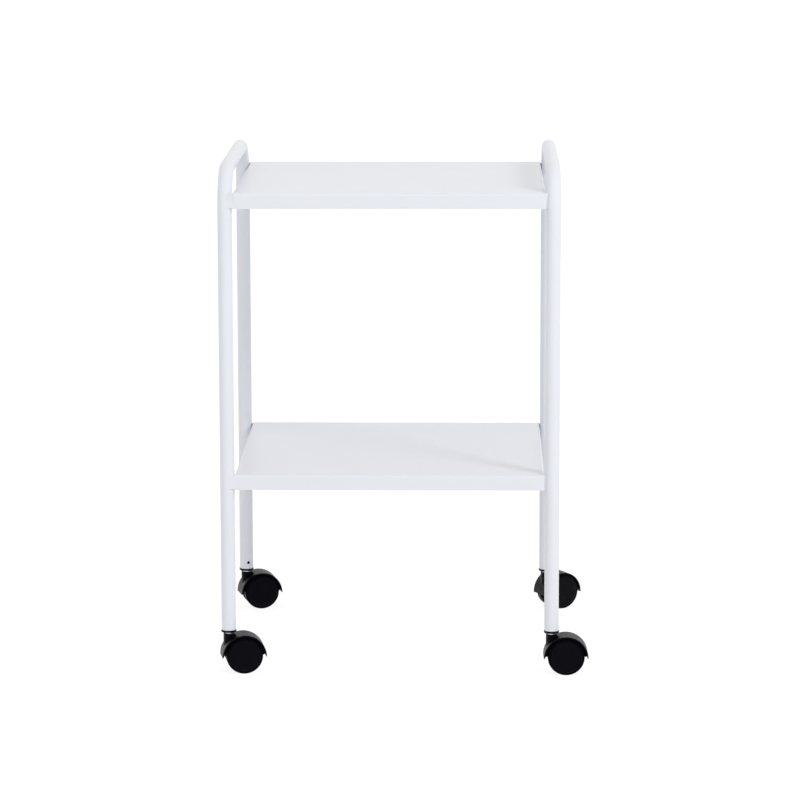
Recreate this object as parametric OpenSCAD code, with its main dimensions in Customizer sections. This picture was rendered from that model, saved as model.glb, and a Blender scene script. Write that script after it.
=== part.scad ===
// Rolling salon trolley: two bent tube side frames carry two folded sheet shelves on four casters.
// Millimetres, +Z up, front at -Y. The origin is on the floor, midway between the four legs.

/* [Side frames] */
// Outer diameter of the frame tube
tube_d = 19; // [16:0.5:25]
// Wall of the frame tube
tube_wall = 1.5; // [1:0.1:2]
// Distance between the side frames, tube axis to tube axis
frame_span = 428; // [360:1:560]
// Distance from front leg to back leg, tube axis to tube axis
frame_depth = 375; // [300:1:480]
// Height of the handle bars' top above the floor
frame_height = 677; // [600:1:950]
// Radius of the frame's bends, on the tube's axis
bend_r = 55; // [45:1:80]
// Diameter of the drain hole in one leg of each frame
drain_d = 4.5; // [3:0.5:6]
// Height of the drain hole above the leg's end
drain_rise = 9; // [5:0.5:20]
// Turn of the drain hole from the frame's other leg towards the shelves, in degrees
drain_turn = 22; // [0:1:45]

/* [Shelves] */
// Thickness of the shelves' sheet
sheet_t = 1.2; // [0.8:0.1:2]
// Outside radius of the shelves' folds
fold_r = 3; // [2.5:0.5:5]
// How far the shelves' front and back lie behind the outer faces of the legs
shelf_inset = 1; // [0:0.5:3]
// Height of the flange round a shelf, from the shelf's top
flange_h = 20; // [18:0.5:40]
// How far the handle bars' top stands above the upper shelf
handle_rise = 37; // [28:1:60]
// Height of the lower shelf's top above the floor
lower_shelf_z = 268; // [150:1:400]
// Outside radius of the shelves' upright corners
corner_r = 3; // [2.5:0.5:6]

/* [Shelf screws] */
// Diameter of the shelf screws
screw_d = 5; // [4:0.5:6]
// Length of a shelf screw under its head
screw_l = 10; // [8:0.5:14]
// Diameter of a screw head
screw_head_d = 9.5; // [8:0.5:12]
// Height of a screw head
screw_head_h = 2.8; // [2:0.1:4]
// Width of a screw's hexagon socket, corner to corner
screw_key_d = 3.5; // [2.5:0.1:4]
// Depth of a screw's hexagon socket
screw_key_depth = 1.6; // [1:0.1:2]
// Distance of the screws below the shelf's top
screw_drop = 11; // [9:0.5:13]
// Outer diameter of a washer
washer_d = 11; // [9:0.5:13]
// Thickness of a washer
washer_t = 1; // [0.5:0.1:1.6]
// Outer diameter of a rivet nut's body
rivet_d = 7.2; // [6.8:0.1:8.5]
// Length of a rivet nut's body
rivet_l = 9; // [7:0.5:12]
// Diameter of a rivet nut's flange
rivet_flange_d = 10; // [9:0.5:13]
// Thickness of a rivet nut's flange
rivet_flange_t = 0.8; // [0.6:0.1:1.6]

/* [Caster sockets and stems] */
// Diameter of the socket's flange under the leg
socket_flange_d = 20; // [17:0.5:27]
// Thickness of the socket's flange
socket_flange_h = 2.8; // [1.5:0.1:4]
// Length of the socket's plug inside the leg
socket_l = 30; // [26:1:45]
// Diameter of the stem's shank in the socket
shank_d = 10; // [8:0.5:11]
// Length of the stem's shank
shank_l = 24; // [18:0.5:25]
// Diameter of the stem's collar
collar_d = 11.5; // [11.5:0.5:13]
// Height of the stem's collar
collar_h = 2.2; // [1:0.1:4]
// Diameter of the stem's journal in the caster
journal_d = 7; // [5:0.5:7.5]
// Length of the stem's journal
journal_l = 20; // [14:0.5:22]

/* [Casters] */
// Diameter of a wheel
wheel_d = 49; // [40:1:60]
// Width of a wheel
wheel_w = 11.5; // [10:0.5:16]
// Thickness of the housing's web between the two wheels
web_t = 10; // [9.5:0.5:14]
// Gap between the web and each wheel
wheel_gap = 0.5; // [0.3:0.1:1.5]
// Gap between the wheels and the hood, at the top
hood_gap = 0.9; // [0.7:0.1:3]
// Wall of the hood
hood_wall = 2; // [1.6:0.1:3.5]
// How far the centre of the hood's arc lies below the axle, which widens the gap towards the ends
hood_drop = 2.2; // [0:0.1:4]
// How far the hood's pointed ends hang below the axle
tip_drop = 3; // [0:0.5:8]
// Distance from the swivel axis to the axle
trail = 19.3; // [15:0.1:22]
// Diameter of the neck round the stem
neck_d = 14.6; // [13:0.1:18]
// Rise of the neck above the hood's top
neck_rise = 0.8; // [0.5:0.1:6]
// Diameter of the axle
axle_d = 6; // [4:0.5:8]
// Depth of a wheel's rim, from the tread to the cap on its face
rim_t = 3.5; // [3:0.5:6]
// How far a cap stands proud of its wheel
cap_proud = 0.8; // [0.3:0.1:1.5]
// Swivel of the front left caster, counter-clockwise from trailing right, in degrees
front_left_swivel = 10; // [-180:1:180]
// Swivel of the front right caster, in degrees
front_right_swivel = 1; // [-180:1:180]
// Swivel of the back left caster, in degrees
back_left_swivel = 15; // [-180:1:180]
// Swivel of the back right caster, in degrees
back_right_swivel = 30; // [-180:1:180]

/* [Hidden] */
$fn = 64;
eps = 0.5;                // overlap of a cutter past the face that it opens
running_gap = 0.05;       // radial clearance of a turning fit
press_gap = 0.02;         // radial clearance of a seated fit
swivel_gap = 0.1;         // axial clearance between a neck and its stem's collar

// Frame
tube_r = tube_d / 2;
bore_r = tube_r - tube_wall;
frame_x = frame_span / 2;
leg_y = frame_depth / 2;
bar_z = frame_height - tube_r;
bend_z = bar_z - bend_r;

// Shelves
upper_shelf_z = frame_height - handle_rise;
shelf_w = frame_span - tube_d - 2 * rivet_flange_t;
shelf_depth = frame_depth + tube_d - 2 * shelf_inset;
screw_clearance = 0.25;   // radial clearance of a screw in the flange and its washer
screw_land = 0.6;         // straight edge under the dome of a screw's head
thread_gap = 0.05;        // radial clearance of a screw's plain shank in its rivet nut
rivet_bulge = 1.2;        // how far a set rivet nut swells behind the tube wall
rivet_bulge_l = 2.2;

// Caster heights, from the floor up
wheel_r = wheel_d / 2;
hood_in_r = wheel_r + hood_gap + hood_drop;
hood_mid_r = hood_in_r + hood_wall / 2;
hood_r = hood_in_r + hood_wall;
hood_z = wheel_r - hood_drop;
neck_z = hood_z + hood_r + neck_rise;
collar_z = neck_z + swivel_gap;
socket_z = collar_z + collar_h;
leg_z = socket_z + socket_flange_h;

// Caster widths, from the middle of the web out
wheel_in = web_t / 2 + wheel_gap;
wheel_out = wheel_in + wheel_w;
caster_w = 2 * wheel_out;
hood_edge_r = 1.4;        // rounding of the hood's outer edges
web_drop = 2;             // how far the web reaches below the axle
boss_r = axle_d / 2 + 4;  // web round the axle
gusset_t = 9;             // rib from the neck down to the hood
gusset_l = 9;

// Wheel section
cap_gap = 0.1;            // radial clearance of a cap in its seat
rim_in_r = wheel_r - rim_t;
cap_r = rim_in_r - cap_gap;
tread_r = 2;              // rounding of the tread's edges
face_t = 2;               // thickness of the wheel's disc
cap_seat = 1.4;           // depth of the cap's seat in the wheel's face
cap_edge_r = 1.2;         // rounding of the cap's edge
rib_t = 1.4;              // ribs between hub and rim
rib_count = 6;
hub_r = axle_d / 2 + 3;
disc_s = wheel_w - cap_seat - face_t; // inner face of the wheel's disc, from the wheel's inner face
axle_s = disc_s - 0.3;    // how far the axle reaches into a wheel
snap_s = axle_s - 3.5;    // place of the snap lip that keeps a wheel on its axle
snap_w = 1;
snap_h = 0.25;            // height of a snap lip
groove_depth = 0.4;       // depth of the groove that a lip runs in
groove_side = 0.2;        // side clearance of a lip in its groove

// Socket and stem details
rib_h = 0.7;              // barbs round the socket's plug
barb_count = 3;
barb_l = 3;
ring_w = 1.6;             // grip ring
ring_t = 1;
ring_gap_deg = 30;
ring_z = socket_z + shank_l - 6;
lip_z = neck_z - journal_l + 4; // snap lip that keeps a caster on its stem

// Name, side, end and swivel of each caster
CASTERS = [
    ["front_left", -1, -1, front_left_swivel],
    ["front_right", 1, -1, front_right_swivel],
    ["back_left", -1, 1, back_left_swivel],
    ["back_right", 1, 1, back_right_swivel],
];
CASTER_PIECES = ["socket", "stem", "grip_ring", "housing", "axle",
    "left_wheel", "right_wheel", "left_wheel_cap", "right_wheel_cap"];

// Distance of a leg's axis from the middle at a height: the bends lean it in
function leg_y_at(z) = z <= bend_z ? leg_y : leg_y - bend_r + sqrt(pow(bend_r, 2) - pow(z - bend_z, 2));

module white_paint() { color([0.93, 0.94, 0.96]) children(); }
module black_plastic() { color([0.08, 0.08, 0.09]) children(); }
module zinc_steel() { color([0.72, 0.73, 0.75]) children(); }

// A hollow ring of tube, as a flat section
module tube_section() {
    difference() {
        circle(r = tube_r);
        circle(r = bore_r);
    }
}

// Places children at both legs of a side frame, with +X towards the trolley's middle, at a screw's height
module at_frame_screws(side, z) {
    for (end = [-1, 1])
        translate([side * frame_x, end * leg_y_at(z), z]) rotate([0, 0, side > 0 ? 180 : 0]) children();
}

module at_shelf_screws(shelf_z) {
    for (side = [-1, 1]) at_frame_screws(side, shelf_z - screw_drop) children();
}

// A cylinder along +X between two distances from a leg's axis
module along_x(r, from, to) {
    translate([from, 0, 0]) rotate([0, 90, 0]) cylinder(r = r, h = to - from);
}

// Both side frames are the same piece: the right one is the left one turned half round
module side_frame(half_turns) {
    white_paint() rotate([0, 0, half_turns * 180]) difference() {
        translate([-frame_x, 0, 0]) {
            for (end = [0, 1]) mirror([0, end, 0]) {
                translate([0, leg_y, leg_z]) linear_extrude(bend_z - leg_z) tube_section();
                translate([0, leg_y - bend_r, bend_z]) rotate([90, 0, 90])
                    rotate_extrude(angle = 90) translate([bend_r, 0]) tube_section();
            }
            translate([0, bend_r - leg_y, bar_z]) rotate([-90, 0, 0])
                linear_extrude(2 * (leg_y - bend_r)) tube_section();
        }
        for (shelf_z = [lower_shelf_z, upper_shelf_z])
            at_frame_screws(-1, shelf_z - screw_drop) along_x(rivet_d / 2 + press_gap, 0, tube_r + eps);
        translate([-frame_x, leg_y, leg_z + drain_rise]) rotate([0, 0, drain_turn - 90])
            along_x(drain_d / 2, 0, tube_r + eps);
    }
}

// Outline across a shelf whose two top corners are folds
module folded_outline(width, r) {
    translate([-width / 2, -flange_h]) square([width, flange_h - r]);
    translate([r - width / 2, -r - eps]) square([width - 2 * r, r + eps]);
    for (end = [-1, 1]) translate([end * (width / 2 - r), -r]) circle(r = r);
}

// A closed block as high as a shelf's flange, folded at its top and rounded at its upright corners
module folded_block(inset) {
    width = shelf_w - 2 * inset;
    depth = shelf_depth - 2 * inset;
    difference() {
        intersection() {
            rotate([90, 0, 0]) linear_extrude(depth, center = true) folded_outline(width, fold_r - inset);
            rotate([90, 0, 90]) linear_extrude(width, center = true) folded_outline(depth, fold_r - inset);
        }
        for (side = [0, 1], end = [0, 1]) mirror([side, 0, 0]) mirror([0, end, 0])
            translate([width / 2, depth / 2, -flange_h - eps]) upright_corner_cut(corner_r - inset);
    }
}

// What rounding an upright corner takes away, from the corner inwards
module upright_corner_cut(r) {
    linear_extrude(flange_h + 2 * eps) difference() {
        translate([-r, -r]) square(r + eps);
        translate([-r, -r]) circle(r = r);
    }
}

// A tray of folded sheet, open below, whose corners are welded shut
module shelf(shelf_z) {
    white_paint() difference() {
        translate([0, 0, shelf_z]) difference() {
            folded_block(0);
            translate([0, 0, -sheet_t]) folded_block(sheet_t);
        }
        at_shelf_screws(shelf_z)
            along_x(screw_d / 2 + screw_clearance, tube_r, tube_r + rivet_flange_t + sheet_t + eps);
    }
}

module shelf_screws(shelf_z) {
    seat = tube_r + rivet_flange_t + sheet_t + washer_t;
    white_paint() at_shelf_screws(shelf_z) translate([seat, 0, 0]) rotate([0, 90, 0]) {
        translate([0, 0, -screw_l]) cylinder(d = screw_d, h = screw_l + eps);
        difference() {
            rotate_extrude() screw_head_section();
            translate([0, 0, screw_head_h - screw_key_depth])
                cylinder(d = screw_key_d, h = screw_head_h, $fn = 6);
        }
    }
}

// Half of a button head: a short straight edge under a dome
module screw_head_section() {
    dome_h = screw_head_h - screw_land;
    dome_r = (pow(screw_head_d / 2, 2) + pow(dome_h, 2)) / (2 * dome_h);
    intersection() {
        square([screw_head_d / 2, screw_head_h]);
        translate([0, screw_head_h - dome_r]) circle(r = dome_r);
    }
}

module shelf_washers(shelf_z) {
    seat = tube_r + rivet_flange_t + sheet_t;
    white_paint() at_shelf_screws(shelf_z) difference() {
        along_x(washer_d / 2, seat, seat + washer_t);
        along_x(screw_d / 2 + screw_clearance, seat - eps, seat + washer_t + eps);
    }
}

module frame_rivet_nuts(side) {
    bulge_top = sqrt(pow(bore_r, 2) - pow(rivet_d / 2 + rivet_bulge, 2)) - press_gap;
    white_paint() for (shelf_z = [lower_shelf_z, upper_shelf_z])
        at_frame_screws(side, shelf_z - screw_drop) difference() {
            union() {
                along_x(rivet_d / 2, tube_r - rivet_l, tube_r + rivet_flange_t);
                along_x(rivet_flange_d / 2, tube_r, tube_r + rivet_flange_t);
                along_x(rivet_d / 2 + rivet_bulge, bulge_top - rivet_bulge_l, bulge_top);
            }
            along_x(screw_d / 2 + thread_gap, tube_r - rivet_l - eps, tube_r + rivet_flange_t + eps);
        }
}

// Places children at a caster's swivel axis, turned to trail along +X
module at_caster(c) {
    translate([c[1] * frame_x, c[2] * leg_y, 0]) rotate([0, 0, c[3]]) children();
}

// Flat section rings of a turned piece: radius against height
module turned_step(r, from, to) {
    translate([0, from]) square([r, to - from]);
}

module caster_socket(c) {
    plug_r = bore_r - press_gap - rib_h;
    pitch = socket_l / (barb_count + 1);
    black_plastic() at_caster(c) rotate_extrude() difference() {
        union() {
            turned_step(socket_flange_d / 2, socket_z, leg_z);
            turned_step(plug_r, leg_z - eps, leg_z + socket_l);
            for (i = [1:barb_count])
                translate([0, leg_z + i * pitch]) polygon([[0, -barb_l / 2], [plug_r + rib_h, -barb_l / 2],
                    [plug_r, barb_l / 2], [0, barb_l / 2]]);
        }
        turned_step(shank_d / 2 + press_gap, socket_z - eps, socket_z + shank_l + press_gap);
        turned_step(shank_d / 2 + ring_t / 2, ring_z - ring_w, ring_z + 2 * ring_w);
    }
}

module caster_stem(c) {
    zinc_steel() at_caster(c) rotate_extrude() difference() {
        union() {
            turned_step(journal_d / 2, neck_z - journal_l, collar_z + eps);
            turned_step(collar_d / 2, collar_z, socket_z);
            turned_step(shank_d / 2, socket_z - eps, socket_z + shank_l);
        }
        translate([shank_d / 2 - ring_t / 2 - press_gap, ring_z - groove_side])
            square([ring_t, ring_w + 2 * groove_side]);
        translate([journal_d / 2 - groove_depth, lip_z - groove_side])
            square([groove_depth + eps, snap_w + 2 * groove_side]);
    }
}

module caster_grip_ring(c) {
    zinc_steel() at_caster(c) translate([0, 0, ring_z]) rotate_extrude(angle = 360 - ring_gap_deg)
        translate([shank_d / 2 - ring_t / 2, 0]) square([ring_t - press_gap, ring_w]);
}

// Flat outlines in a caster's side view, given a width across the wheels
module side_view(width) {
    rotate([90, 0, 0]) linear_extrude(width, center = true) children();
}

// Turned shapes about the axle, or about the hood's own centre, whose section's height runs across the wheels
module about_axle() {
    translate([trail, 0, wheel_r]) rotate([90, 0, 0]) children();
}

module about_hood() {
    translate([trail, 0, hood_z]) rotate([90, 0, 0]) children();
}

// Half section of a turned band whose two outer edges are rounded
module band_section(in_r, out_r, width, edge_r) {
    intersection() {
        translate([in_r, 0]) square([out_r - in_r, width]);
        union() {
            square([out_r - edge_r, width]);
            translate([0, edge_r]) square([out_r, width - 2 * edge_r]);
            for (s = [edge_r, width - edge_r]) translate([out_r - edge_r, s]) circle(r = edge_r);
        }
    }
}

// The hood's side outline: everything above the axle, and two pointed ends that hang below it
module hood_outline() {
    reach = hood_r + 2 * hood_wall;
    notch = sqrt(pow(hood_in_r, 2) - pow(hood_drop, 2));
    reach_drop = tip_drop * (reach - notch) / hood_wall;
    translate([trail, wheel_r])
        polygon([[-reach, reach], [reach, reach], [reach, -reach_drop], [notch, 0], [-notch, 0],
            [-reach, -reach_drop]]);
}

module web_outline() {
    translate([trail, wheel_r]) {
        intersection() {
            translate([0, -hood_drop]) circle(r = hood_mid_r);
            translate([-hood_in_r, -web_drop]) square([2 * hood_in_r, hood_r + web_drop]);
        }
        circle(r = boss_r);
    }
}

module gusset_outline() {
    top = neck_z - neck_rise / 2;
    polygon([[0, top], [neck_d / 2, top], [neck_d / 2 + gusset_l, top - gusset_l],
        [neck_d / 2 + gusset_l, wheel_r], [0, wheel_r]]);
}

module caster_housing(c) {
    black_plastic() at_caster(c) difference() {
        union() {
            intersection() {
                about_hood() rotate_extrude() translate([0, -wheel_out])
                    band_section(hood_in_r, hood_r, caster_w, hood_edge_r);
                side_view(caster_w + 2 * eps) hood_outline();
            }
            side_view(web_t) web_outline();
            difference() {
                union() {
                    translate([0, 0, wheel_r]) cylinder(d = neck_d, h = neck_z - wheel_r);
                    side_view(gusset_t) gusset_outline();
                }
                about_hood() cylinder(r = hood_mid_r, h = caster_w, center = true);
            }
        }
        journal_bore();
        about_axle() cylinder(r = axle_d / 2 + press_gap, h = caster_w, center = true);
    }
}

// The stem's bore, with the lip that snaps into the journal's groove
module journal_bore() {
    bottom = neck_z - journal_l - swivel_gap;
    rotate_extrude() difference() {
        turned_step(journal_d / 2 + running_gap, bottom, neck_z + eps);
        translate([journal_d / 2 - snap_h, lip_z]) square([snap_h + eps, snap_w]);
    }
}

module caster_axle(c) {
    half_l = wheel_in + axle_s;
    zinc_steel() at_caster(c) about_axle() rotate_extrude() difference() {
        turned_step(axle_d / 2, -half_l, half_l);
        for (end = [0, 1]) mirror([0, end])
            translate([axle_d / 2 - groove_depth, wheel_in + snap_s - groove_side])
                square([groove_depth + eps, snap_w + 2 * groove_side]);
    }
}

// Places children on one side of a caster, with the section's height from the wheel's inner face outwards
module at_wheel(c, side) {
    at_caster(c) about_axle() mirror([0, 0, side > 0 ? 1 : 0]) translate([0, 0, wheel_in]) children();
}

module wheel_section() {
    difference() {
        union() {
            band_section(rim_in_r, wheel_r, wheel_w, tread_r);
            turned_step(rim_in_r + eps, disc_s, disc_s + face_t);
            turned_step(hub_r, 0, disc_s + eps);
        }
        difference() {
            turned_step(axle_d / 2 + running_gap, -eps, disc_s);
            translate([axle_d / 2 - snap_h, snap_s]) square([snap_h + eps, snap_w]);
        }
    }
}

module caster_wheel(c, side) {
    black_plastic() at_wheel(c, side) {
        rotate_extrude() wheel_section();
        for (i = [0:rib_count - 1]) rotate([0, 0, i * 360 / rib_count])
            translate([hub_r - eps, -rib_t / 2, face_t])
                cube([rim_in_r - hub_r + 2 * eps, rib_t, disc_s - face_t + eps]);
    }
}

// Half of a cap: a flat disc with a rounded edge
module cap_section() {
    face = wheel_w + cap_proud;
    edge_s = face - cap_edge_r;
    turned_step(cap_r, wheel_w - cap_seat, edge_s);
    turned_step(cap_r - cap_edge_r, wheel_w - cap_seat, face);
    intersection() {
        turned_step(cap_r, edge_s, face);
        translate([cap_r - cap_edge_r, edge_s]) circle(r = cap_edge_r);
    }
}

module caster_wheel_cap(c, side) {
    black_plastic() at_wheel(c, side) rotate_extrude() cap_section();
}

side_frame(0);  // left_side_frame
side_frame(1);  // right_side_frame
shelf(upper_shelf_z);  // upper_shelf
shelf(lower_shelf_z);  // lower_shelf
shelf_screws(upper_shelf_z);  // upper_shelf_screws
shelf_screws(lower_shelf_z);  // lower_shelf_screws
shelf_washers(upper_shelf_z);  // upper_shelf_washers
shelf_washers(lower_shelf_z);  // lower_shelf_washers
frame_rivet_nuts(-1);  // left_frame_rivet_nuts
frame_rivet_nuts(1);  // right_frame_rivet_nuts
for (c = CASTERS) {
    caster_socket(c);
    caster_stem(c);
    caster_grip_ring(c);
    caster_housing(c);
    caster_axle(c);
    caster_wheel(c, 1);
    caster_wheel(c, -1);
    caster_wheel_cap(c, 1);
    caster_wheel_cap(c, -1);
}
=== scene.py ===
"""Rolling salon trolley: finishes its pieces and sets them on a plain white stage."""

import math

import bmesh
import bpy
from bpy.props import FloatProperty, FloatVectorProperty, PointerProperty
from mathutils import Euler, Matrix, Vector


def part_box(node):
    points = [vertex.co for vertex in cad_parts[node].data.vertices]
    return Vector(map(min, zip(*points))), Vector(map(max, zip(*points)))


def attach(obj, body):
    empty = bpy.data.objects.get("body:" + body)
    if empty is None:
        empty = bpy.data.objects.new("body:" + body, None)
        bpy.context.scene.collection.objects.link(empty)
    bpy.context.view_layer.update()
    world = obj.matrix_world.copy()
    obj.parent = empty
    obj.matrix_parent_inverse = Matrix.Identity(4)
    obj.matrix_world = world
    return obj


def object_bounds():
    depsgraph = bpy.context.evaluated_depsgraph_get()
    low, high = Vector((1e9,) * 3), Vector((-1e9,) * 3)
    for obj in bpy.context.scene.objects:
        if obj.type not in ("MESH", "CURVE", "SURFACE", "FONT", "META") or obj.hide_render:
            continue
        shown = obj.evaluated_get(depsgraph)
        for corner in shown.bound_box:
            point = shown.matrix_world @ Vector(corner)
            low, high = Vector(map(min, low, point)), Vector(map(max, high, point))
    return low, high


bl_info = {
    "name": "Rolling Salon Trolley",
    "version": (1, 0, 0),
    "blender": (4, 5, 0),
    "location": "View3D > Sidebar > Trolley",
    "description": "Finishes a white two-shelf trolley on black twin-wheel casters",
    "category": "Object",
}

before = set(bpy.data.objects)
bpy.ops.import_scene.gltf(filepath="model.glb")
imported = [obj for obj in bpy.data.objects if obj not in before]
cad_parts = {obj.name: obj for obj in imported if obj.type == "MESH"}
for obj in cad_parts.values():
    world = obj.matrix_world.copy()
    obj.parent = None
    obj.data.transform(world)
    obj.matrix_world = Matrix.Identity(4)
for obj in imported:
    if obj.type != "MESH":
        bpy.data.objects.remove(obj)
CAD_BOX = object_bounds()
LEFT_FRAME_LOW, LEFT_FRAME_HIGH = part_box("left_side_frame")

# Seam beads
BEAD_STEPS = 6   # facets across a bead's face
BEAD_RINGS = 48  # facets along a bead
BEAD_END = 0.3   # how far a bead's ends are drawn in, as a share of its depth
BEAD_DROP = 0.1  # how far a bead's top lies below the shelf's, as a share of the fold's radius

# Finishes: CLOUD and GLOSS are the widths, in metres, of the patches in which colour and roughness drift,
# and DRIFT is how far they drift
NOISE_LOW, NOISE_HIGH = 0.3, 0.7  # a noise texture's usual span
PAINT_CLOUD = 0.11
PAINT_GLOSS, PAINT_GLOSS_DRIFT = 0.03, 0.02
PLASTIC_CLOUD, PLASTIC_DRIFT = 0.008, 0.3
PLASTIC_GLOSS, PLASTIC_GLOSS_DRIFT = 0.004, 0.06
WHEEL_ROUGHER = 0.1  # how much rougher the wheels are than the other mouldings
STEEL_CLOUD, STEEL_DRIFT = 0.002, 0.15
STEEL_GLOSS_DRIFT = 0.08
STREAK_WIDTH, STREAK_STRETCH, STREAK_DEPTH = 0.0015, (1, 1, 8), 0.000004  # turning marks on the steel

# Stage, in metres but for the sensor
FLOOR_RADIUS, FLOOR_SIDES = 30, 64
FLOOR_BOUNCE = 0.9                    # grey of the floor for the light that it throws back
FLOOR_SHADOW, FLOOR_GLOW = 0.2, 0.88  # what the floor shows: a grey that takes shadow, and a glow on top
SENSOR_WIDTH = 36                     # millimetres
VIEW_DEPTH = 100                      # beyond the floor's far edge
KEY_PLACE, KEY_SIZE = (3.5, -3.5, 3.5), (1.25, 1.5)
FILL_PLACE, FILL_SIZE = (-1.2, -4.8, 3.6), (4.4, 3.6)


class PaintSettings(bpy.types.PropertyGroup):
    """The white powder coat on the frames and shelves."""

    colour: FloatVectorProperty(
        name="Colour", description="White of the powder coat", subtype="COLOR", size=3, min=0, max=1,
        default=(0.793, 0.804, 0.843))
    colour_drift: FloatProperty(
        name="Colour drift", description="How much the white varies over a hand's width", min=0, max=0.2,
        default=0.012)
    roughness: FloatProperty(
        name="Roughness", description="Mean roughness of the coat", min=0, max=1, default=0.32)
    specular: FloatProperty(
        name="Specular", description="Strength of the coat's reflections", min=0, max=1, default=0.35)
    peel_size: FloatProperty(
        name="Peel size", description="Width of one ripple of the coat's orange peel", subtype="DISTANCE",
        unit="LENGTH", default=0.0022)
    peel_depth: FloatProperty(
        name="Peel depth", description="Height of the orange peel's ripples", subtype="DISTANCE",
        unit="LENGTH", default=0.0000012)


class SeamSettings(bpy.types.PropertyGroup):
    """The painted beads that close the seams between the shelves' corners and the legs."""

    bend_radius: FloatProperty(
        name="Bend radius", description="Radius of the frames' bends, on the tube's axis",
        subtype="DISTANCE", unit="LENGTH", default=0.055)
    corner_radius: FloatProperty(
        name="Corner radius", description="Radius of the shelves' folds and upright corners",
        subtype="DISTANCE", unit="LENGTH", default=0.003)
    leg_angle: FloatProperty(
        name="Leg angle", description="How far round a leg, from its front or back, a bead's edge lies",
        subtype="ANGLE", default=math.radians(6))
    left_fill: FloatProperty(
        name="Left fill", description="How full the left seams are, from 0 at their root to 1, flush",
        subtype="FACTOR", min=0, max=1, default=1)
    right_fill: FloatProperty(
        name="Right fill", description="How full the right seams are, from 0 at their root to 1, flush",
        subtype="FACTOR", min=0, max=1, default=0.5)
    hollow: FloatProperty(
        name="Hollow", description="How far the middle of a bead's face is drawn into the seam",
        subtype="DISTANCE", unit="LENGTH", default=0.0002)
    end_length: FloatProperty(
        name="End length", description="Length of a bead's rounded ends", subtype="DISTANCE", unit="LENGTH",
        default=0.0015)


class PlasticSettings(bpy.types.PropertyGroup):
    """The black nylon of the casters and sockets."""

    colour: FloatVectorProperty(
        name="Colour", description="Black of the moulded nylon", subtype="COLOR", size=3, min=0, max=1,
        default=(0.0035, 0.0035, 0.005))
    wheel_colour: FloatVectorProperty(
        name="Wheel colour", description="Black of the wheels", subtype="COLOR", size=3, min=0, max=1,
        default=(0.0008, 0.0008, 0.0012))
    roughness: FloatProperty(
        name="Roughness", description="Mean roughness of the mouldings", min=0, max=1, default=0.45)
    facing_tint: FloatVectorProperty(
        name="Facing tint", description="Tint of the mouldings' reflections where they face the viewer",
        subtype="COLOR", size=3, min=0, max=1, default=(0.05, 0.05, 0.07))
    grain_size: FloatProperty(
        name="Grain size", description="Width of one grain of the mould's texture", subtype="DISTANCE",
        unit="LENGTH", default=0.0005)
    grain_depth: FloatProperty(
        name="Grain depth", description="Depth of the mould's texture", subtype="DISTANCE", unit="LENGTH",
        default=0.000012)


class SteelSettings(bpy.types.PropertyGroup):
    """The zinc-plated stems, grip rings and axles."""

    colour: FloatVectorProperty(
        name="Colour", description="Colour of the zinc plate", subtype="COLOR", size=3, min=0, max=1,
        default=(0.62, 0.63, 0.65))
    roughness: FloatProperty(
        name="Roughness", description="Mean roughness of the plate", min=0, max=1, default=0.28)


class StageSettings(bpy.types.PropertyGroup):
    """Camera, light and floor."""

    camera_place: FloatVectorProperty(
        name="Camera place", description="Where the camera stands", subtype="TRANSLATION", unit="LENGTH",
        size=3, default=(0.10973, -4.80989, 1.17530))
    camera_pitch: FloatProperty(
        name="Camera pitch", description="How far the camera looks down", subtype="ANGLE", default=0.17306)
    camera_turn: FloatProperty(
        name="Camera turn", description="How far the camera turns to the left", subtype="ANGLE",
        default=0.02073)
    camera_roll: FloatProperty(
        name="Camera roll", description="Roll of the camera about its own line of sight", subtype="ANGLE",
        default=-0.002)
    lens: FloatProperty(
        name="Lens", description="Focal length on a 36 mm sensor, in millimetres", default=160.99)
    ambient: FloatProperty(
        name="Ambient", description="Strength of the world's light on the trolley", min=0, default=0.78)
    key_power: FloatProperty(
        name="Key power", description="Power of the softbox at the front right", min=0, default=88)
    key_colour: FloatVectorProperty(
        name="Key colour", description="Colour of the softbox at the front right", subtype="COLOR", size=3,
        min=0, max=1, default=(0.9, 0.95, 1.0))
    fill_power: FloatProperty(
        name="Fill power", description="Power of the large lamp above the front left", min=0, default=20)


class TrolleySettings(bpy.types.PropertyGroup):
    """Everything that a user of the trolley would change."""

    paint: PointerProperty(type=PaintSettings)
    seam: PointerProperty(type=SeamSettings)
    plastic: PointerProperty(type=PlasticSettings)
    steel: PointerProperty(type=SteelSettings)
    stage: PointerProperty(type=StageSettings)


def settings():
    return bpy.context.scene.trolley


def noise(tree, size, detail=2.0, stretch=(1, 1, 1)):
    """A noise texture on Object coordinates, whose features are about size metres wide."""
    place = tree.nodes.new("ShaderNodeTexCoord")
    mapping = tree.nodes.new("ShaderNodeMapping")
    mapping.inputs["Scale"].default_value = stretch
    texture = tree.nodes.new("ShaderNodeTexNoise")
    texture.inputs["Scale"].default_value = 1 / size
    texture.inputs["Detail"].default_value = detail
    tree.links.new(place.outputs["Object"], mapping.inputs["Vector"])
    tree.links.new(mapping.outputs["Vector"], texture.inputs["Vector"])
    return texture.outputs["Fac"]


def spread(tree, value, low, high):
    """Maps a noise value's usual span to a range."""
    ramp = tree.nodes.new("ShaderNodeMapRange")
    ramp.inputs["From Min"].default_value = NOISE_LOW
    ramp.inputs["From Max"].default_value = NOISE_HIGH
    ramp.inputs["To Min"].default_value = low
    ramp.inputs["To Max"].default_value = high
    tree.links.new(value, ramp.inputs["Value"])
    return ramp.outputs["Result"]


def drift(tree, value, colour, amount):
    """A colour that drifts darker by amount as value rises."""
    mix = tree.nodes.new("ShaderNodeMix")
    mix.data_type = "RGBA"
    mix.inputs["A"].default_value = (*colour, 1)
    mix.inputs["B"].default_value = (*(c * (1 - amount) for c in colour), 1)
    tree.links.new(value, mix.inputs["Factor"])
    return mix.outputs["Result"]


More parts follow.
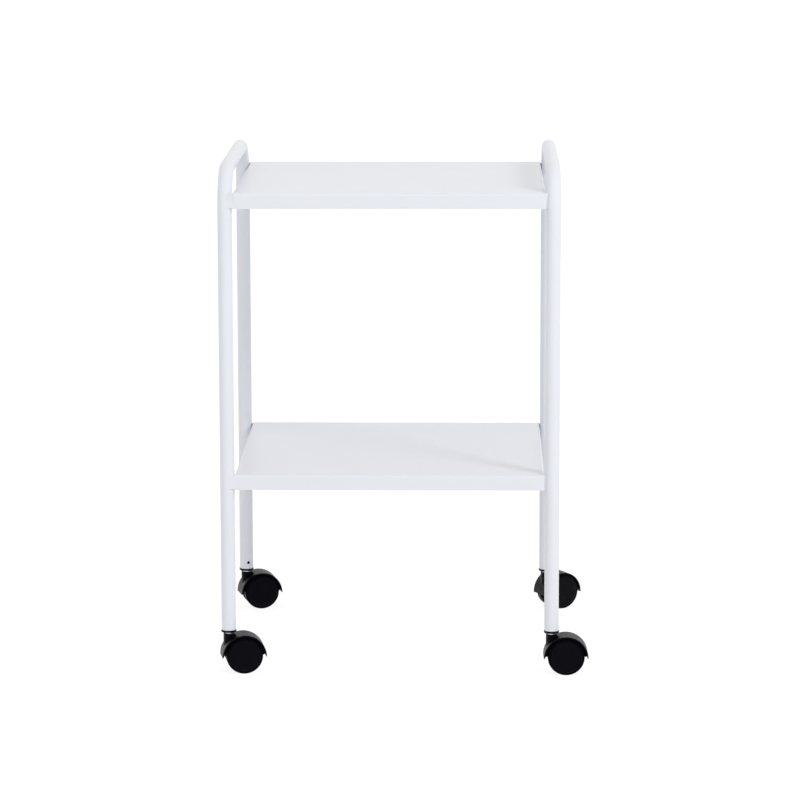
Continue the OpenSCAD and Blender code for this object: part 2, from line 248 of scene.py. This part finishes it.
def bump(tree, height, depth):
    """A bump of a given depth in metres."""
    node = tree.nodes.new("ShaderNodeBump")
    node.inputs["Strength"].default_value = 1
    node.inputs["Distance"].default_value = depth
    tree.links.new(height, node.inputs["Height"])
    return node.outputs["Normal"]


def new_material(name):
    material = bpy.data.materials.get(name) or bpy.data.materials.new(name)
    material.use_nodes = True
    tree = material.node_tree
    tree.nodes.clear()
    shader = tree.nodes.new("ShaderNodeBsdfPrincipled")
    output = tree.nodes.new("ShaderNodeOutputMaterial")
    tree.links.new(shader.outputs["BSDF"], output.inputs["Surface"])
    return material, tree, shader


def white_powder_coat():
    paint = settings().paint
    material, tree, shader = new_material("white_powder_coat")
    shader.inputs["Specular IOR Level"].default_value = paint.specular
    cloud = noise(tree, PAINT_CLOUD)
    tree.links.new(drift(tree, cloud, paint.colour, paint.colour_drift), shader.inputs["Base Color"])
    low, high = paint.roughness - PAINT_GLOSS_DRIFT, paint.roughness + PAINT_GLOSS_DRIFT
    gloss = spread(tree, noise(tree, PAINT_GLOSS, detail=3), low, high)
    tree.links.new(gloss, shader.inputs["Roughness"])
    peel = bump(tree, noise(tree, paint.peel_size, detail=1), paint.peel_depth)
    tree.links.new(peel, shader.inputs["Normal"])
    return material


def black_moulding(name, colour, roughness):
    plastic = settings().plastic
    material, tree, shader = new_material(name)
    shader.inputs["Specular Tint"].default_value = (*plastic.facing_tint, 1)
    cloud = noise(tree, PLASTIC_CLOUD)
    tree.links.new(drift(tree, cloud, colour, PLASTIC_DRIFT), shader.inputs["Base Color"])
    low, high = roughness - PLASTIC_GLOSS_DRIFT, roughness + PLASTIC_GLOSS_DRIFT
    gloss = spread(tree, noise(tree, PLASTIC_GLOSS, detail=3), low, high)
    tree.links.new(gloss, shader.inputs["Roughness"])
    grain = bump(tree, noise(tree, plastic.grain_size, detail=1), plastic.grain_depth)
    tree.links.new(grain, shader.inputs["Normal"])
    return material


def zinc_steel():
    steel = settings().steel
    material, tree, shader = new_material("zinc_steel")
    shader.inputs["Metallic"].default_value = 1
    cloud = noise(tree, STEEL_CLOUD)
    tree.links.new(drift(tree, cloud, steel.colour, STEEL_DRIFT), shader.inputs["Base Color"])
    streak = noise(tree, STREAK_WIDTH, detail=3, stretch=STREAK_STRETCH)
    low, high = steel.roughness - STEEL_GLOSS_DRIFT, steel.roughness + STEEL_GLOSS_DRIFT
    tree.links.new(spread(tree, streak, low, high), shader.inputs["Roughness"])
    tree.links.new(bump(tree, streak, STREAK_DEPTH), shader.inputs["Normal"])
    return material


def finish_node(name, material):
    """Gives a CAD node its finish."""
    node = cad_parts[name]
    node.data.materials.clear()
    node.data.materials.append(material)


def nodes_ending(*endings):
    return [name for name in sorted(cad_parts) if name.endswith(endings)]


class TROLLEY_OT_side_frames(bpy.types.Operator):
    """Finish the two bent tube frames"""

    bl_idname = "trolley.side_frames"
    bl_label = "Side Frames"

    def execute(self, context):
        coat = white_powder_coat()
        for name in nodes_ending("side_frame"):
            finish_node(name, coat)
        return {"FINISHED"}


class TROLLEY_OT_shelves(bpy.types.Operator):
    """Finish the two folded sheet shelves and the painted fittings that hold them"""

    bl_idname = "trolley.shelves"
    bl_label = "Shelves"

    def execute(self, context):
        coat = white_powder_coat()
        for name in nodes_ending("_shelf", "_screws", "_washers", "_rivet_nuts"):
            finish_node(name, coat)
        return {"FINISHED"}


def leg_point(seam, angle, height):
    """A point on the front left leg at a height, turned by angle from the front towards the shelves."""
    low, high = LEFT_FRAME_LOW, LEFT_FRAME_HIGH
    tube_r = (high.x - low.x) / 2
    ring_r = seam.bend_radius + tube_r * math.cos(angle)
    rise = max(height - (high.z - tube_r - seam.bend_radius), 0)
    bend_y = low.y + tube_r + seam.bend_radius
    depth = math.sqrt(ring_r**2 - rise**2)
    return Vector((low.x + tube_r + tube_r * math.sin(angle), bend_y - depth, height))


def bead_section(seam, low, high, height, fill):
    """Points round a bead at a height: its hollow face from leg to shelf, then its root in the seam."""
    on_leg = leg_point(seam, seam.leg_angle, height)
    over_fold = max(height - high.z + seam.corner_radius, 0)
    set_back = seam.corner_radius - math.sqrt(seam.corner_radius**2 - over_fold**2)
    on_shelf = Vector((low.x + seam.corner_radius, low.y + set_back, height))
    side = leg_point(seam, math.pi / 2, height)
    root = Vector(((side.x + low.x) / 2, side.y, height))
    middle = (on_leg + on_shelf) / 2
    pull = middle + (root - middle).normalized() * 2 * seam.hollow
    steps = [i / BEAD_STEPS for i in range(BEAD_STEPS + 1)]
    face = [on_leg * (1 - t) ** 2 + pull * 2 * t * (1 - t) + on_shelf * t**2 for t in steps]
    return [root.lerp(point, fill) for point in face] + [root]


def draw_bead(bm, seam, shelf, fill):
    """Draws a bead's section up the seam at a shelf's front left corner, with rounded ends."""
    low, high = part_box(shelf)
    top = high.z - BEAD_DROP * seam.corner_radius
    face = None
    for i in range(BEAD_RINGS + 1):
        height = low.z + (top - low.z) * i / BEAD_RINGS
        past_end = max(0, 1 - min(height - low.z, top - height) / seam.end_length)
        points = bead_section(seam, low, high, height, fill * (1 - BEAD_END * past_end**2))
        if face is None:
            face = bm.faces.new([bm.verts.new(point) for point in points])
            continue
        below = face
        grown = bmesh.ops.extrude_face_region(bm, geom=[below])["geom"]
        face = next(part for part in grown if isinstance(part, bmesh.types.BMFace))
        for vert, point in zip(face.verts, points):
            vert.co = point
        if i > 1:
            bmesh.ops.delete(bm, geom=[below], context="FACES_ONLY")


class TROLLEY_OT_shelf_seams(bpy.types.Operator):
    """Close the seams between the shelves' corners and the legs with painted beads"""

    bl_idname = "trolley.shelf_seams"
    bl_label = "Shelf Seams"

    def execute(self, context):
        seam = settings().seam
        coat = white_powder_coat()
        for shelf in nodes_ending("_shelf"):
            for side, turn, fill in (("left", 1, seam.left_fill), ("right", -1, seam.right_fill)):
                bm = bmesh.new()
                draw_bead(bm, seam, shelf, fill)
                bmesh.ops.mirror(bm, geom=[*bm.verts, *bm.edges, *bm.faces], merge_dist=-1, axis="Y")
                bmesh.ops.scale(bm, vec=(turn, 1, 1), verts=bm.verts)
                bmesh.ops.recalc_face_normals(bm, faces=bm.faces)
                mesh = bpy.data.meshes.new(f"{shelf}_{side}_seams")
                bm.to_mesh(mesh)
                bm.free()
                mesh.materials.append(coat)
                beads = bpy.data.objects.new(mesh.name, mesh)
                context.scene.collection.objects.link(beads)
                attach(beads, "trolley_frame")
        return {"FINISHED"}


class TROLLEY_OT_steel_pins(bpy.types.Operator):
    """Finish the casters' stems, grip rings and axles"""

    bl_idname = "trolley.steel_pins"
    bl_label = "Steel Pins"

    def execute(self, context):
        zinc = zinc_steel()
        for name in nodes_ending("_stem", "_grip_ring", "_axle"):
            finish_node(name, zinc)
        return {"FINISHED"}


class TROLLEY_OT_casters(bpy.types.Operator):
    """Finish the sockets, housings, wheels and wheel caps"""

    bl_idname = "trolley.casters"
    bl_label = "Casters"

    def execute(self, context):
        plastic = settings().plastic
        nylon = black_moulding("black_nylon", plastic.colour, plastic.roughness)
        tread = black_moulding("black_wheel", plastic.wheel_colour, plastic.roughness + WHEEL_ROUGHER)
        for name in nodes_ending("_socket", "_housing", "_wheel_cap"):
            finish_node(name, nylon)
        for name in nodes_ending("_wheel"):
            finish_node(name, tread)
        return {"FINISHED"}


def seen_directly(tree):
    """1 for rays from the camera, a reflection or a transmission, and 0 for light that bounces."""
    path = tree.nodes.new("ShaderNodeLightPath")
    total = path.outputs["Is Camera Ray"]
    for name in ("Is Glossy Ray", "Is Transmission Ray"):
        most = tree.nodes.new("ShaderNodeMath")
        most.operation = "MAXIMUM"
        tree.links.new(total, most.inputs[0])
        tree.links.new(path.outputs[name], most.inputs[1])
        total = most.outputs["Value"]
    return total


def add_world(stage):
    """White where it is seen, and an even, softer light on what it falls on."""
    world = bpy.data.worlds.new("white_studio")
    bpy.context.scene.world = world
    world.use_nodes = True
    tree = world.node_tree
    background = tree.nodes["Background"]
    background.inputs["Color"].default_value = (1, 1, 1, 1)
    strength = tree.nodes.new("ShaderNodeMix")
    strength.inputs["A"].default_value = stage.ambient
    strength.inputs["B"].default_value = 1
    tree.links.new(seen_directly(tree), strength.inputs["Factor"])
    tree.links.new(strength.outputs["Result"], background.inputs["Strength"])


def add_floor():
    """A white floor that shows as the background and still takes the trolley's shadow."""
    material = bpy.data.materials.new("white_floor")
    material.use_nodes = True
    tree = material.node_tree
    tree.nodes.clear()
    plain = tree.nodes.new("ShaderNodeBsdfDiffuse")
    plain.inputs["Color"].default_value = (FLOOR_BOUNCE, FLOOR_BOUNCE, FLOOR_BOUNCE, 1)
    pale = tree.nodes.new("ShaderNodeBsdfDiffuse")
    pale.inputs["Color"].default_value = (FLOOR_SHADOW, FLOOR_SHADOW, FLOOR_SHADOW, 1)
    glow = tree.nodes.new("ShaderNodeEmission")
    glow.inputs["Strength"].default_value = FLOOR_GLOW
    lit = tree.nodes.new("ShaderNodeAddShader")
    mix = tree.nodes.new("ShaderNodeMixShader")
    output = tree.nodes.new("ShaderNodeOutputMaterial")
    tree.links.new(pale.outputs["BSDF"], lit.inputs[0])
    tree.links.new(glow.outputs["Emission"], lit.inputs[1])
    tree.links.new(seen_directly(tree), mix.inputs["Fac"])
    tree.links.new(plain.outputs["BSDF"], mix.inputs[1])
    tree.links.new(lit.outputs["Shader"], mix.inputs[2])
    tree.links.new(mix.outputs["Shader"], output.inputs["Surface"])
    mesh = bpy.data.meshes.new("floor")
    bm = bmesh.new()
    bmesh.ops.create_circle(bm, cap_ends=True, segments=FLOOR_SIDES, radius=FLOOR_RADIUS)
    bm.to_mesh(mesh)
    bm.free()
    mesh.materials.append(material)
    floor = bpy.data.objects.new("floor", mesh)
    bpy.context.scene.collection.objects.link(floor)


def add_lamp(name, place, aim, size, power, colour=(1, 1, 1), reflects=True):
    """An area lamp, which also shows as a reflection in glossy surfaces if reflects is set."""
    lamp = bpy.data.lights.new(name, "AREA")
    lamp.color = colour
    lamp.shape = "RECTANGLE"
    lamp.size, lamp.size_y = size
    lamp.energy = power
    rig = bpy.data.objects.new(name, lamp)
    rig.location = place
    rig.rotation_euler = (Vector(aim) - Vector(place)).to_track_quat("-Z", "Y").to_euler()
    rig.visible_glossy = reflects
    bpy.context.scene.collection.objects.link(rig)


def add_camera(stage):
    data = bpy.data.cameras.new("camera")
    data.sensor_width = SENSOR_WIDTH
    data.lens = stage.lens
    data.clip_end = VIEW_DEPTH
    camera = bpy.data.objects.new("camera", data)
    aim = Euler((math.pi / 2 - stage.camera_pitch, 0, stage.camera_turn)).to_matrix()
    turn = aim @ Matrix.Rotation(stage.camera_roll, 3, "Z")
    camera.matrix_world = Matrix.Translation(stage.camera_place) @ turn.to_4x4()
    bpy.context.scene.collection.objects.link(camera)
    bpy.context.scene.camera = camera


class TROLLEY_OT_stage(bpy.types.Operator):
    """Set the floor, lamps, world and camera"""

    bl_idname = "trolley.stage"
    bl_label = "Stage"

    def execute(self, context):
        stage = settings().stage
        context.scene.view_settings.view_transform = "Standard"
        add_world(stage)
        add_floor()
        centre = (CAD_BOX[0] + CAD_BOX[1]) / 2
        # the key is so bright that its mirror image would burn out the shelves, as seen from the back left
        add_lamp("key_lamp", KEY_PLACE, centre, KEY_SIZE, stage.key_power, stage.key_colour, reflects=False)
        add_lamp("fill_lamp", FILL_PLACE, centre, FILL_SIZE, stage.fill_power)
        add_camera(stage)
        return {"FINISHED"}


class TROLLEY_PT_panel(bpy.types.Panel):
    """Lists the trolley's pieces and stage"""

    bl_idname = "TROLLEY_PT_panel"
    bl_label = "Trolley"
    bl_space_type = "VIEW_3D"
    bl_region_type = "UI"
    bl_category = "Trolley"

    def draw(self, context):
        for operator in OPERATORS:
            self.layout.operator(operator.bl_idname)


OPERATORS = (TROLLEY_OT_side_frames, TROLLEY_OT_shelves, TROLLEY_OT_shelf_seams, TROLLEY_OT_steel_pins,
             TROLLEY_OT_casters, TROLLEY_OT_stage)
GROUPS = (PaintSettings, SeamSettings, PlasticSettings, SteelSettings, StageSettings, TrolleySettings)
CLASSES = (*GROUPS, *OPERATORS, TROLLEY_PT_panel)


def register():
    for cls in CLASSES:
        bpy.utils.register_class(cls)
    bpy.types.Scene.trolley = PointerProperty(type=TrolleySettings)


def unregister():
    del bpy.types.Scene.trolley
    for cls in reversed(CLASSES):
        bpy.utils.unregister_class(cls)


def main():
    register()
    bpy.ops.trolley.side_frames()
    bpy.ops.trolley.shelves()
    bpy.ops.trolley.shelf_seams()
    bpy.ops.trolley.steel_pins()
    bpy.ops.trolley.casters()
    bpy.ops.trolley.stage()


if __name__ == "__main__":
    main()
